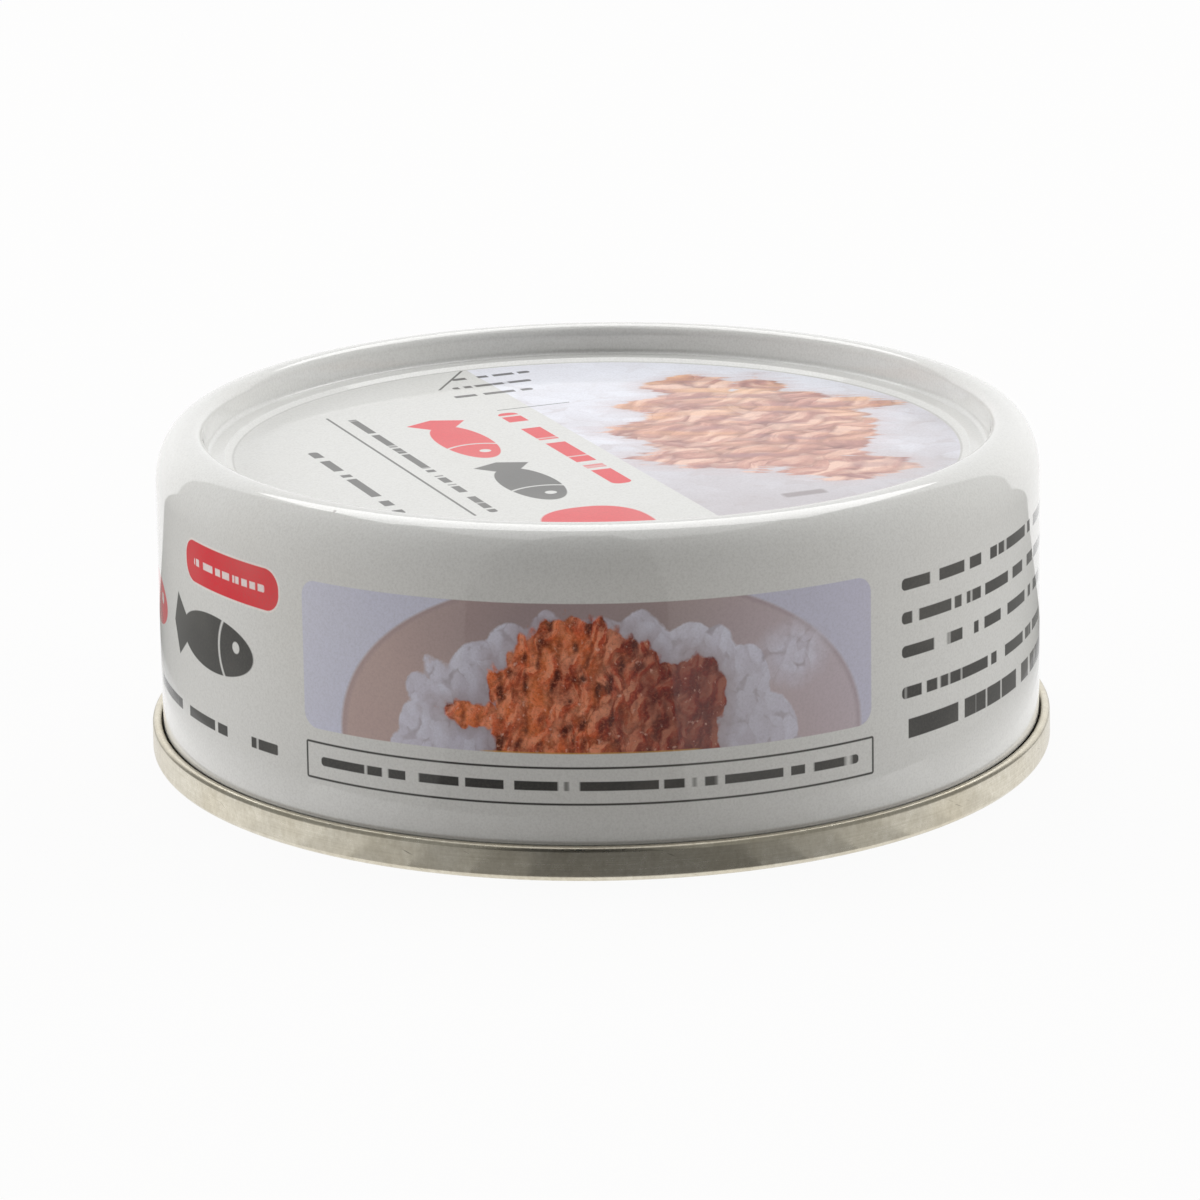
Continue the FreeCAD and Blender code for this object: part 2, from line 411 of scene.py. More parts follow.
# ---- materials: shader expressions ---------------------------------------------------
class Field:
    """A number that changes over a surface: a shader socket that Python's operators work on."""

    def __init__(self, nodes, socket):
        self.nodes = nodes
        self.socket = socket

    def math(self, operation, *others):
        return self.nodes.node("ShaderNodeMath", {"operation": operation}, [self, *others])

    def __add__(self, other):
        return self.math("ADD", other)

    __radd__ = __add__

    def __sub__(self, other):
        return self.math("SUBTRACT", other)

    def __rsub__(self, other):
        return self.nodes.node("ShaderNodeMath", {"operation": "SUBTRACT"}, [other, self])

    def __mul__(self, other):
        return self.math("MULTIPLY", other)

    __rmul__ = __mul__

    def __truediv__(self, other):
        return self.math("DIVIDE", other)

    def __pow__(self, other):
        return self.math("POWER", other)

    def __gt__(self, other):
        return self.math("GREATER_THAN", other)

    def __abs__(self):
        return self.math("ABSOLUTE")

    def clamped(self):
        """The same, kept between 0 and 1."""
        settings = {"operation": "ADD", "use_clamp": True}
        return self.nodes.node("ShaderNodeMath", settings, [self, 0.0])

    def also(self, output):
        """Another output of the node that this field comes from."""
        return Field(self.nodes, self.socket.node.outputs[output])


def either(one, other):
    """Where one mask or the other is set."""
    return one.math("MAXIMUM", other)


def both(one, other):
    """Where both masks are set."""
    return one.math("MINIMUM", other)


class Nodes:
    """The shader nodes of a material or of the world."""

    def __init__(self, tree, output):
        self.tree = tree
        self.output = tree.nodes[output]

    def node(self, kind, settings=None, sockets=(), output=0):
        """Any node: its type, its settings, and values or links by socket number or name."""
        node = self.tree.nodes.new(kind)
        for setting, value in (settings or {}).items():
            setattr(node, setting, value)
        pairs = sockets.items() if isinstance(sockets, dict) else enumerate(sockets)
        for key, value in pairs:
            if isinstance(value, Field):
                self.tree.links.new(value.socket, node.inputs[key])
            else:
                node.inputs[key].default_value = value
        return Field(self, node.outputs[output])

    def show(self, shader):
        """Makes a shader the one that is seen."""
        self.tree.links.new(shader.socket, self.output.inputs["Surface"])


class Finish(Nodes):
    """A node material, made from a Principled shader and what feeds it."""

    def __init__(self, name, **constants):
        self.material = bpy.data.materials.new(name)
        self.material.use_nodes = True
        super().__init__(self.material.node_tree, "Material Output")
        self.shader = self.tree.nodes["Principled BSDF"]
        for socket, value in constants.items():
            self.shader.inputs[socket.replace("_", " ")].default_value = value

    def place(self):
        """Place on the piece as three fields, in millimetres."""
        point = self.node("ShaderNodeTexCoord", output="Object")
        parts = self.node("ShaderNodeSeparateXYZ", None, [point])
        return [parts.also(axis) * (1 / MM) for axis in range(3)]

    def vector(self, x, y, z=0.0):
        return self.node("ShaderNodeCombineXYZ", None, [x, y, z])

    def mix(self, factor, first, second):
        """First colour where factor is 0 and second where it is 1."""
        sockets = {0: factor, 6: first, 7: second}
        return self.node("ShaderNodeMix", {"data_type": "RGBA"}, sockets, output=2)

    def noise(self, vector, scale, detail=2.0, roughness=0.5):
        sockets = {"Vector": vector, "Scale": scale, "Detail": detail, "Roughness": roughness}
        return self.node("ShaderNodeTexNoise", None, sockets)

    def cells(self, vector, scale):
        """Distance to the middle of the nearest of many scattered cells."""
        settings = {"feature": "F1", "voronoi_dimensions": "2D"}
        return self.node("ShaderNodeTexVoronoi", settings, {"Vector": vector, "Scale": scale})

    def feed(self, **links):
        """Links fields to the shader's own sockets."""
        for socket, field in links.items():
            self.tree.links.new(field.socket, self.shader.inputs[socket.replace("_", " ")])

    def bump(self, height):
        """Normal from a height in millimetres."""
        sockets = {"Height": height, "Distance": MM, "Strength": 1.0}
        return self.node("ShaderNodeBump", None, sockets)


def tone(red, green, blue):
    """Linear colour of a tone that is given as it looks, each part from 0 to 255."""
    parts = [part / 255 for part in (red, green, blue)]
    linear = [p / 12.92 if p <= 0.04045 else ((p + 0.055) / 1.055) ** 2.4 for p in parts]
    return (*linear, 1.0)


# ---- simple printed shapes, as distances in millimetres --------------------------------
def rounded_box(x, y, centre, half, corner):
    """Signed distance to a rounded rectangle."""
    over_x = abs(x - centre[0]) - (half[0] - corner)
    over_y = abs(y - centre[1]) - (half[1] - corner)
    outside_x = over_x.math("MAXIMUM", 0.0)
    outside_y = over_y.math("MAXIMUM", 0.0)
    outside = (outside_x * outside_x + outside_y * outside_y) ** 0.5
    inside = both(either(over_x, over_y), 0.0)
    return outside + inside - corner


def oval(x, y, centre, half, squareness=2.0):
    """Distance to an oval, from -1 half-width at its middle to 0 on its outline."""
    across = abs((x - centre[0]) / half[0]) ** squareness
    up = abs((y - centre[1]) / half[1]) ** squareness
    return (across + up) ** (1 / squareness) - 1


def inked(distance, edge=0.08):
    """Mask of what lies inside a distance, with a soft edge of that width."""
    return (0.5 - distance / edge).clamped()


def outline(distance, width, edge=0.08):
    """Mask of a line along a shape's edge."""
    return inked(abs(distance) - width / 2, edge)


def broken_rule(finish, x, y, centre, half, word):
    """Mask of a thin rule along x, broken into dashes of about the length word."""
    line = inked(rounded_box(x, y, centre, half, min(half) * 0.8))
    breaks = finish.noise(finish.vector(x / word, centre[1] * 7.3 + centre[0]), 1.0, 1.0, 0.6)
    return line * (0.5 + (breaks - 0.42) * 30).clamped()


def plain_fish(x, y, centre, half):
    """Mask of a plain fish: an oval body and a forked tail, with a bare eye and gill line."""
    length, depth = half
    body_middle = (centre[0] + length * 0.12, centre[1])
    body = inked(oval(x, y, body_middle, (length * 0.8, depth * 0.75)), 0.03)
    along = x - (centre[0] - length)
    fork = abs(y - centre[1]) * 0.75
    spread = inked(abs(y - centre[1]) - (length * 0.62 - along) * 0.8, 0.15)
    tail = spread * inked(0.0 - (along - fork * 0.6), 0.15) * inked(along - length * 0.6, 0.15)
    eye_middle = (centre[0] + length * 0.6, centre[1] + depth * 0.15)
    eye = inked(oval(x, y, eye_middle, (0.55, 0.55)), 0.2)
    gill_middle = (centre[0] + length * 0.75, centre[1])
    gill = outline(oval(x, y, gill_middle, (length * 0.5, depth * 1.2)), 0.07, 0.05)
    before_head = (x - centre[0] - length > -length).clamped()
    return either(body * (1 - gill * before_head), tail) * (1 - eye)


def shreds(finish, x, y, layers, tones, contrast=1.0):
    """Colour of shreds that overlap in (lean, length, width) layers, each with its own tone."""
    dark, deep, middle, light = tones
    coarse = layers[0][2]
    warp = finish.noise(finish.vector(x, y), 0.9 / coarse, 2.0, 0.65) - 0.5
    bend = finish.noise(finish.vector(y + 31.0, x), 0.35 / coarse, 1.0) - 0.5
    colour = finish.mix((0.5 + warp * 2).clamped(), dark, deep)
    for index, (lean, length, width) in enumerate(layers):
        cosine, sine = math.cos(math.radians(lean)), math.sin(math.radians(lean))
        along = (x * cosine + y * sine) / length + warp * 0.35 + 7.3 * index
        across = (y * cosine - x * sine) / width + warp * 0.55 + bend * 1.6 + 3.1 * index
        middle_of = finish.cells(finish.vector(along, across), 1.0)
        beside = finish.cells(finish.vector(along + 0.06, across + 0.22), 1.0)
        chance = finish.node("ShaderNodeSeparateColor", None, [middle_of.also("Color")])
        other_chance = chance.also(1)
        fibre = finish.noise(finish.vector(along * 1.6, across * 5.5), 1.0, 2.0, 0.6) - 0.5
        relief = (beside - middle_of) * 1.5 * contrast
        lit = other_chance * 0.62 + relief + fibre * 0.9 * contrast + 0.16
        shred = finish.mix((lit * 2.2).clamped(), deep, middle)
        shred = finish.mix((lit * 2.4 - 1.1).clamped(), shred, light)
        shade = inked(middle_of - 0.50 - chance * 0.2, 0.3)
        colour = finish.mix(shade * 0.5 * contrast, colour, dark)
        colour = finish.mix(inked(middle_of - 0.34 - chance * 0.24, 0.16), colour, shred)
    return colour


def swells(finish, x, y, scale, step):
    """How far broad swells face the light, which comes from the side that step points to."""
    here = finish.noise(finish.vector(x, y), scale, 2.0, 0.55)
    return here - finish.noise(finish.vector(x + step[0], y + step[1]), scale, 2.0, 0.55)


def blob(x, y, centre, half, squareness=2.0):
    """Distance to an oval in about millimetres."""
    return oval(x, y, centre, half, squareness) * min(half)


def nearest(distances):
    """Distance to the nearest of several shapes."""
    least = distances[0]
    for distance in distances[1:]:
        least = both(least, distance)
    return least


# ---- print on the can: colours ---------------------------------------------------------
ENAMEL = tone(221, 221, 218)
ENAMEL_CLOUD = tone(206, 202, 192)
ENAMEL_GRAIN = tone(120, 114, 106)
ENAMEL_SPECK = tone(110, 104, 96)
# painted shade for the crease where the wall goes into the seam
SEAM_PAINTED_SHADE = tone(120, 112, 100)
# painted shade for the groove at the foot of the panel's step
STEP_PAINTED_SHADE = tone(104, 98, 94)
INK = tone(24, 22, 20)
RED = tone(224, 22, 42)
BADGE_RIM = tone(236, 230, 226)
BADGE_RULE = tone(240, 232, 230)
SKY = tone(208, 209, 226)
SKY_SHADE = tone(196, 194, 212)
BOWL = tone(192, 168, 163)
BOWL_SHADE = tone(158, 142, 145)
BOWL_LIP = tone(150, 132, 138)
RICE = (tone(176, 168, 178), tone(198, 192, 204), tone(212, 209, 223), tone(222, 222, 236))
RICE_BY_FISH = tone(158, 136, 138)
SIDE_FISH = (tone(40, 2, 1), tone(132, 18, 7), tone(202, 66, 36), tone(252, 170, 136))
SIDE_AMBER = tone(232, 116, 36)
SIDE_ORANGE = tone(255, 146, 92)
SIDE_CLEFT = tone(116, 14, 6)
SIDE_SWELL = tone(250, 172, 132)
SIDE_MOTTLE = tone(248, 142, 104)
SIDE_MAROON = tone(110, 4, 1)
SIDE_GLINT = tone(250, 200, 180)
SIDE_OIL = tone(216, 168, 84)
TOP_FISH = (tone(136, 86, 84), tone(178, 124, 116), tone(208, 152, 138), tone(242, 202, 184))
TOP_ORANGE = tone(248, 192, 138)
TOP_SWELL = tone(250, 210, 180)
TOP_HOLLOW = tone(172, 128, 130)
TOP_RICE = (tone(212, 207, 213), tone(220, 217, 224), tone(228, 228, 237), tone(238, 239, 248))
TOP_RICE_DIM = tone(202, 196, 199)
TOP_RICE_NEAR = tone(188, 181, 184)
TOP_RICE_FAR = tone(240, 243, 252)
TOP_RICE_BY_FISH = tone(206, 188, 190)
TOP_SLIVER = tone(120, 104, 104)

# ---- print on the can: places, as middle and half size in millimetres --------------------
# Layers of shreds are (lean in degrees, length, width).
side_layers = [(62, 2.2, 0.9), (118, 2.2, 1.0), (84, 3.0, 1.2), (104, 2.8, 1.2), (64, 3.6, 1.5)]
grain_layers = [(30, 2.2, 1.3), (120, 2.2, 1.3), (75, 2.6, 1.5)]
top_layers = [(-25, 4.6, 2.2), (40, 5.0, 2.4), (-50, 5.4, 2.6), (15, 6.0, 2.8), (52, 6.4, 3.0)]
top_grain_layers = [(0, 4.5, 2.6), (60, 4.5, 2.6), (-35, 5.0, 2.8)]

# On the wall, x runs round the can from the middle of the front and y is the height.
picture_left, picture_right = -28.45, 25.4
picture_foot, picture_top = 11.45, 25.0
picture_corner = 1.5
bowl = (0.0, 12.0), (24.25, 15.45)
bowl_glow = (17.0, 19.0), (7.5, 6.0)
bowl_middle = (-1.0, 22.5), (13.0, 6.5)
side_rice = (0.0, 11.5), (18.0, 12.2), 2.1
side_rice_spill = (17.3, 19.2), (2.8, 2.3)
side_rice_foot = (1.0, 10.5), (14.6, 10.0), 2.3
side_heap = [
    ((-2.2, 12.5), (7.4, 11.5), 2.3),
    ((1.6, 16.6), (4.6, 5.6)),
    ((4.2, 12.5), (6.4, 7.3), 2.4),
    ((8.3, 16.4), (2.8, 3.8)),
    ((-11.2, 14.8), (3.0, 1.3)),
    ((-9.0, 17.6), (1.0, 1.9)),
]
notice_box = (-1.35, 8.5), (26.9, 1.66)
notice_rule = (-1.35, 8.5), (25.3, 0.42)
badge = (-39.1, 23.15), (7.75, 1.95)
badge_corner = 1.75
badge_rule = (-39.1, 23.15), (5.95, 0.34)
side_rules = [
    ((50.0, 23.4), (21.0, 0.55)),
    ((50.0, 20.3), (21.0, 0.55)),
    ((50.0, 17.2), (21.0, 0.55)),
    ((50.0, 13.4), (21.0, 0.55)),
    ((50.0, 10.0), (21.0, 0.9)),
]
low_rule = (-45.0, 8.4), (13.2, 0.5)
side_dark_fish = (-42.6, 16.2), (8.2, 3.6)
side_red_fish = (-60.6, 16.2), (7.4, 3.4)

# On the panel, the heap lies in x and y, and the marks in a frame turned by print_turn.
print_turn = 22.8
top_heap = [
    ((15.5, 6.0), (11.0, 15.0), 2.3),
    ((7.0, 6.0), (6.2, 4.2), 1.6),
    ((9.5, -4.5), (6.2, 3.4), 1.5),
    ((9.5, 23.5), (5.0, 4.6), 1.5),
    ((15.8, 23.0), (3.0, 4.0), 1.4),
    ((24.0, 15.4), (5.2, 3.2), 1.5),
    ((23.0, -8.3), (6.4, 4.8), 1.6),
    ((7.5, 15.8), (5.6, 4.0), 1.5),
]
top_sliver = (10.4, -23.6), (2.1, 0.7)
long_line = (-19.3, 2.1), (0.13, 19.7)
cross_line = (0.6, 17.4), (3.8, 0.1)
long_rules = [((1.8, -17.3), (19.0, 0.42)), ((-2.0, -25.0), (12.0, 0.5))]
short_rules = [((1.5, 31.0), (4.2, 0.42)), ((0.3, 27.6), (4.2, 0.42)), ((-0.9, 24.2), (4.2, 0.42))]
slash = (-2.4, 0.0), (0.16, 3.9)
slash_height = 31.5
top_dark_fish = (8.6, -10.7), (7.6, 3.5)
top_red_fish = (-8.4, -10.5), (8.2, 3.4)
red_rule = (1.5, -2.9), (14.6, 1.0)
seal = (-10.2, -24.6), (4.9, 5.6), 2.4


# ---- print on the can: pictures and marks ----------------------------------------------
def side_picture(finish, along, height, ground):
    """Bowl of rice topped with flaked fish, on a pale violet field."""
    centre = ((picture_left + picture_right) / 2, (picture_foot + picture_top) / 2)
    half = ((picture_right - picture_left) / 2, (picture_top - picture_foot) / 2)
    field = inked(rounded_box(along, height, centre, half, picture_corner))
    ragged = finish.noise(finish.vector(along, height), 0.6, 3.0, 0.6) - 0.5
    grains = finish.cells(finish.vector(along, height * 0.8), 0.30) - 0.45
    strand_place = finish.vector(along * 1.5, height * 0.55 + along * 0.3)
    strands = finish.noise(strand_place, 1.0, 3.0, 0.7) - 0.5

    # the bowl, with its lip, its glow on the right and its shade behind the heap
    bowl_edge = oval(along, height, *bowl)
    glow = inked(oval(along, height, *bowl_glow), 1.4)
    middle_shade = inked(oval(along, height, *bowl_middle), 1.0)
    bowl_tone = finish.mix(middle_shade * 0.75, BOWL, BOWL_SHADE)
    bowl_tone = finish.mix(((along - 6.0) / 18).clamped() * 0.45, bowl_tone, SKY_SHADE)
    bowl_tone = finish.mix(glow * 0.15, bowl_tone, SKY)
    lip = inked(abs(bowl_edge + 0.012) - 0.008, 0.02)
    bowl_tone = finish.mix(lip * 0.4, bowl_tone, BOWL_LIP)

    # rice, with loose grains on the right
    rice_edge = blob(along, height, *side_rice) + grains * 2.6 + ragged * 1.0
    spill = blob(along, height, *side_rice_spill) + ragged * 1.4
    rice_mask = either(inked(rice_edge, 0.25), inked(spill, 2.2) * 0.85)
    rice_tone = shreds(finish, along, height, grain_layers, RICE, 0.3)
    low_shade = inked(blob(along, height, *side_rice_foot), 4.5) * 0.4
    rice_tone = finish.mix(low_shade, rice_tone, RICE[0])

    # flaked fish: shreds, then amber and dark patches, swells, mottle and glints
    heap = nearest([blob(along, height, *lump) for lump in side_heap])
    lumps = finish.cells(finish.vector(along * 1.2, height * 0.8 + along * 0.2), 0.75) - 0.45
    fish_edge = heap + ragged * 0.9 + strands * 0.35 + lumps * 0.75 + 0.12
    fish_tone = shreds(finish, along, height, side_layers, SIDE_FISH, 1.5)
    blotch = finish.noise(finish.vector(along + 9.0, height * 0.7 - 4.0), 0.42, 3.0)
    leftward = (0.5 - along / 12).clamped()
    amber = ((blotch - 0.49) * 7).clamped() * (0.12 + leftward * 0.5)
    fish_tone = finish.mix(amber, fish_tone, SIDE_AMBER)
    fish_tone = finish.mix(leftward * 0.4, fish_tone, SIDE_ORANGE)
    fish_tone = finish.mix(((0.47 - blotch) * 8).clamped() * 0.5, fish_tone, SIDE_CLEFT)
    clump = swells(finish, along * 1.3, height * 0.75, 0.34, (-0.6, 0.5))
    fish_tone = finish.mix((clump * 6 - 0.1).clamped() * 0.45, fish_tone, SIDE_SWELL)
    fish_tone = finish.mix((clump * -9 - 0.2).clamped() * 0.8, fish_tone, SIDE_FISH[0])
    mottle = finish.noise(finish.vector(along, height), 3.2, 3.0, 0.7)
    fish_tone = finish.mix(((mottle - 0.5) * 5).clamped() * 0.5, fish_tone, SIDE_MOTTLE)
    fish_tone = finish.mix(((along + 1.5) / 9).clamped() * 0.72, fish_tone, SIDE_MAROON)
    fish_tone = finish.mix(((0.5 - mottle) * 5).clamped() * 0.45, fish_tone, SIDE_FISH[1])
    glints = finish.noise(finish.vector(along * 1.2 + 60.0, height), 1.4, 2.0)
    fish_tone = finish.mix(((glints - 0.64) * 9).clamped() * 0.6, fish_tone, SIDE_GLINT)
    under = inked(fish_edge - 0.7, 1.2) * 0.5

    # one over the other, from the back
    colour = finish.mix((0.4 + along / 70).clamped(), SKY, SKY_SHADE)
    colour = finish.mix(inked(bowl_edge, 0.014), colour, bowl_tone)
    colour = finish.mix(rice_mask, colour, rice_tone)
    colour = finish.mix(both(under, rice_mask), colour, RICE_BY_FISH)
    colour = finish.mix(inked(fish_edge, 0.22), colour, fish_tone)
    oil_line = inked(abs(height - picture_foot) - 0.12, 0.1) * inked(abs(along + 1.0) - 9.5, 0.8)
    colour = finish.mix(oil_line * 0.7, colour, SIDE_OIL)
    return finish.mix(field, ground, colour)


def side_print(finish, along, height):
    """Print round the wall: picture, outlined box, badge, fish marks and rules."""
    colour = side_picture(finish, along, height, ENAMEL)
    frame_line = outline(rounded_box(along, height, *notice_box, 0.15), 0.2)
    dark = either(frame_line, broken_rule(finish, along, height, *notice_rule, 1.5))
    badge_edge = rounded_box(along, height, *badge, badge_corner)
    for rule in side_rules:
        dark = either(dark, broken_rule(finish, along, height, *rule, 2.0))
    dark = either(dark, broken_rule(finish, along, height, *low_rule, 1.8))
    dark = either(dark, plain_fish(along, height, *side_dark_fish))
    red = plain_fish(along, height, *side_red_fish)
    colour = finish.mix(dark * 0.94, colour, INK)
    colour = finish.mix(red, colour, RED)
    colour = finish.mix(inked(badge_edge - 0.2), colour, BADGE_RIM)
    colour = finish.mix(inked(badge_edge), colour, RED)
    note = broken_rule(finish, along, height, *badge_rule, 1.1)
    return finish.mix(note * 0.9, colour, BADGE_RULE)


def top_print(finish, x, y):
    """Print on the panel: fish on rice on the right, white with marks and rules on the left."""
    turn = math.radians(print_turn)
    across = x * math.cos(turn) + y * math.sin(turn)
    up = y * math.cos(turn) - x * math.sin(turn)
    ragged = finish.noise(finish.vector(x * 0.5, y), 0.42, 3.0, 0.6) - 0.5
    strands = finish.noise(finish.vector(x * 0.16, y * 0.75), 1.0, 3.0, 0.7) - 0.5

    # rice, darker towards the front
    ground = shreds(finish, x, y, top_grain_layers, TOP_RICE, 0.22)
    shadow = finish.noise(finish.vector(across * 0.8 + 12.0, up), 0.08, 2.0)
    ground = finish.mix(((shadow - 0.5) * 5).clamped() * 0.5, ground, TOP_RICE_DIM)
    ground = finish.mix(((2.0 - y) / 22).clamped() * 0.75, ground, TOP_RICE_NEAR)
    ground = finish.mix(((y - 12.0) / 14).clamped() * 0.6, ground, TOP_RICE_FAR)

    # flaked fish
    heap = nearest([blob(x, y, *lump) for lump in top_heap])
    fish_edge = heap + ragged * 2.6 + strands * 5.0
    fish_tone = shreds(finish, x, y, top_layers, TOP_FISH, 1.0)
    blotch = finish.noise(finish.vector(x * 0.09, y * 0.35 + 4.0), 1.0, 2.0)
    backward = (0.35 + (y - 2.0) / 30).clamped()
    ripe = ((blotch - 0.48) * 5).clamped() * backward * 0.75
    fish_tone = finish.mix(ripe, fish_tone, TOP_ORANGE)
    clump = swells(finish, x * 0.5, y + x * 0.12, 0.24, (-0.3, 1.1))
    fish_tone = finish.mix((clump * 4).clamped() * 0.28, fish_tone, TOP_SWELL)
    fish_tone = finish.mix((clump * -5 - 0.1).clamped() * 0.75, fish_tone, TOP_HOLLOW)
    colour = finish.mix(inked(fish_edge - 1.2, 2.6) * 0.5, ground, TOP_RICE_BY_FISH)
    colour = finish.mix(inked(fish_edge, 0.5), colour, fish_tone)
    sliver = inked(rounded_box(across, up, *top_sliver, 0.3), 0.4)
    colour = finish.mix(sliver * 0.6, colour, TOP_SLIVER)

    # white side with its marks
    white_side = inked(across - 0.2, 0.1)
    colour = finish.mix(white_side, colour, ENAMEL)
    dark = inked(rounded_box(across, up, *long_line, 0.1))
    for rule in long_rules:
        dark = either(dark, broken_rule(finish, up, across, *rule, 1.7))
    for rule in short_rules:
        dark = either(dark, broken_rule(finish, across, up, *rule, 1.1))
    slash_up = up - slash_height
    dark = either(dark, inked(rounded_box(across - slash_up * 0.75, slash_up, *slash, 0.1)))
    dark = either(dark, inked(rounded_box(across, up, *cross_line, 0.05)))
    dark = either(dark, plain_fish(0.0 - up, across, *top_dark_fish))
    red = plain_fish(0.0 - up, across, *top_red_fish)
    red = either(red, broken_rule(finish, up, across, *red_rule, 2.6))
    seal_mask = inked(oval(across, up, *seal), 0.04)
    colour = finish.mix(dark * 0.85, colour, INK)
    return finish.mix(either(red, seal_mask) * 0.95, colour, RED)


# ---- enamel ----------------------------------------------------------------------------
lacquer = {"Coat_Roughness": 0.03, "Coat_IOR": 1.7, "Specular_IOR_Level": 0.12}
wall_gloss = 1.0         # weight of the lacquer's coat on the wall
panel_gloss = 0.4        # and on the panel


def enamel(name, gloss, print_of):
    """Lacquer of that gloss over enamel; print_of gives the print from the place on the can."""
    finish = Finish(name, Coat_Weight=gloss, **lacquer)
    x, y, z = finish.place()
    body = finish.vector(x, y, z)
    grain = finish.noise(body, 4.5, 2.0, 0.7)
    speck_sockets = {"Vector": body, "Scale": 0.085}
    specks = finish.node("ShaderNodeTexVoronoi", {"feature": "F1"}, speck_sockets)
    speck = inked(specks * 11.8 - 0.17, 0.12)
    wave = finish.noise(body, 0.22, 1.0)
    finish.feed(Roughness=0.30 + grain * 0.16)
    finish.feed(Normal=finish.bump(grain * 0.0012 + wave * 0.006 + speck * 0.01))
    colour = print_of(finish, x, y, z)
    cloud = finish.noise(body, 0.06, 2.0)
    colour = finish.mix(((cloud - 0.5) * 0.5).clamped(), colour, ENAMEL_CLOUD)
    colour = finish.mix(((grain - 0.4) * 3).clamped() * 0.16, colour, ENAMEL_GRAIN)
    finish.feed(Base_Color=finish.mix(speck * 0.7, colour, ENAMEL_SPECK))
    return finish.material


def wall_print(finish, x, y, z):
    """Print round the wall, with painted shade on the enamel where it goes into the seam."""
    along = x.math("ARCTAN2", 0.0 - y) * wall_radius
    # painted shade: a darker band in the crease just above the seam's fold
    seam_shade = inked(abs(z - seam_height - 0.1) - 0.1, 0.3)
    return finish.mix(seam_shade * 0.5, side_print(finish, along, z), SEAM_PAINTED_SHADE)


def panel_print(finish, x, y, z):
    """Print on the panel, with a thin line of painted shade at the foot of its step."""
    radius = (x * x + y * y) ** 0.5
    on_panel = inked(radius - panel_edge, 0.05) * (z > panel_height - 0.6)
    # painted shade: a thin darker line in the groove at the foot of the step
    step_shade = inked(abs(radius - panel_edge - 0.12) - 0.05, 0.22)
    colour = finish.mix(on_panel, ENAMEL, top_print(finish, x, y))
    return finish.mix(step_shade * 0.45, colour, STEP_PAINTED_SHADE)


# ---- metal -----------------------------------------------------------------------------
TIN = tone(230, 224, 208)
TIN_GOLD = tone(218, 208, 184)
TIN_STREAK = tone(182, 173, 152)
TIN_SCRATCH = tone(96, 88, 74)
TAB_TIN = tone(216, 213, 206)
TAB_ROLLED = tone(184, 180, 170)
TAB_DULLED = tone(170, 164, 150)


def tinplate():
    """Satin tinplate under a thin golden lacquer, brushed round the can."""
    finish = Finish("golden_tinplate", Metallic=1.0)
    x, y, z = finish.place()
    radius = (x * x + y * y) ** 0.5
    angle = x.math("ARCTAN2", 0.0 - y)
    brushed = finish.noise(finish.vector(angle * 3.0, z * 7.0, radius * 7.0), 1.0, 4.0, 0.7)
    upright = finish.noise(finish.vector(angle * 60.0, z * 0.8, radius * 0.8), 1.0, 3.0, 0.65)
    sparkle = finish.noise(finish.vector(x, y, z), 3.0, 2.0, 0.7)
    cloud = finish.noise(finish.vector(x, y, z), 0.12, 2.0)
    colour = finish.mix(((cloud - 0.35) * 1.6).clamped(), TIN, TIN_GOLD)
    streak = 0.5 + (brushed - 0.5) * 1.8 + (upright - 0.5) * 1.8 + (sparkle - 0.5) * 1.4
    colour = finish.mix(streak.clamped() * 0.5, colour, TIN_STREAK)
    scratch_place = finish.vector(angle * 60.0 + z * 3.0, z * 0.5 + radius * 0.5)
    scratch = finish.noise(scratch_place, 1.0, 2.0, 0.8)
    colour = finish.mix(((scratch - 0.68) * 12).clamped() * 0.6, colour, TIN_SCRATCH)
    finish.feed(Base_Color=colour, Roughness=0.20 + brushed * 0.10 + upright * 0.08)
    finish.feed(Normal=finish.bump(brushed * 0.006 + upright * 0.005 + sparkle * 0.003))
    return finish.material


def bright_tab():
    """Pressed bright tinplate of the ring-pull, rolled lengthways."""
    finish = Finish("bright_tinplate", Metallic=1.0)
    x, y, z = finish.place()
    rolled = finish.noise(finish.vector(x * 6.0, y * 0.35, z * 6.0), 1.0, 3.0, 0.65)
    cloud = finish.noise(finish.vector(x, y, z), 0.3, 2.0)
    colour = finish.mix(rolled, TAB_TIN, TAB_ROLLED)
    colour = finish.mix(((cloud - 0.5) * 2).clamped() * 0.4, colour, TAB_DULLED)
    finish.feed(Base_Color=colour, Roughness=0.18 + rolled * 0.14)
    finish.feed(Normal=finish.bump(rolled * 0.004))
    return finish.material


# ---- pieces ------------------------------------------------------------------------------
def make_can():
    """The printed can over its CAD solid; the dish takes the second material."""
    path = drawn_can_underside() + drawn_can_path()[1:]
    piece = turned_mesh("printed_can", path, can_map)
    piece.data.materials.append(enamel("lacquered_wall", wall_gloss, wall_print))
    piece.data.materials.append(enamel("lacquered_panel", panel_gloss, panel_print))
    for face in piece.data.polygons:
        middle = face.center / MM
        if middle.z > shoulder_base and middle.xy.length < panel_edge + step_width:
            face.material_index = 1
    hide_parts("can_body")
    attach(piece, "root")


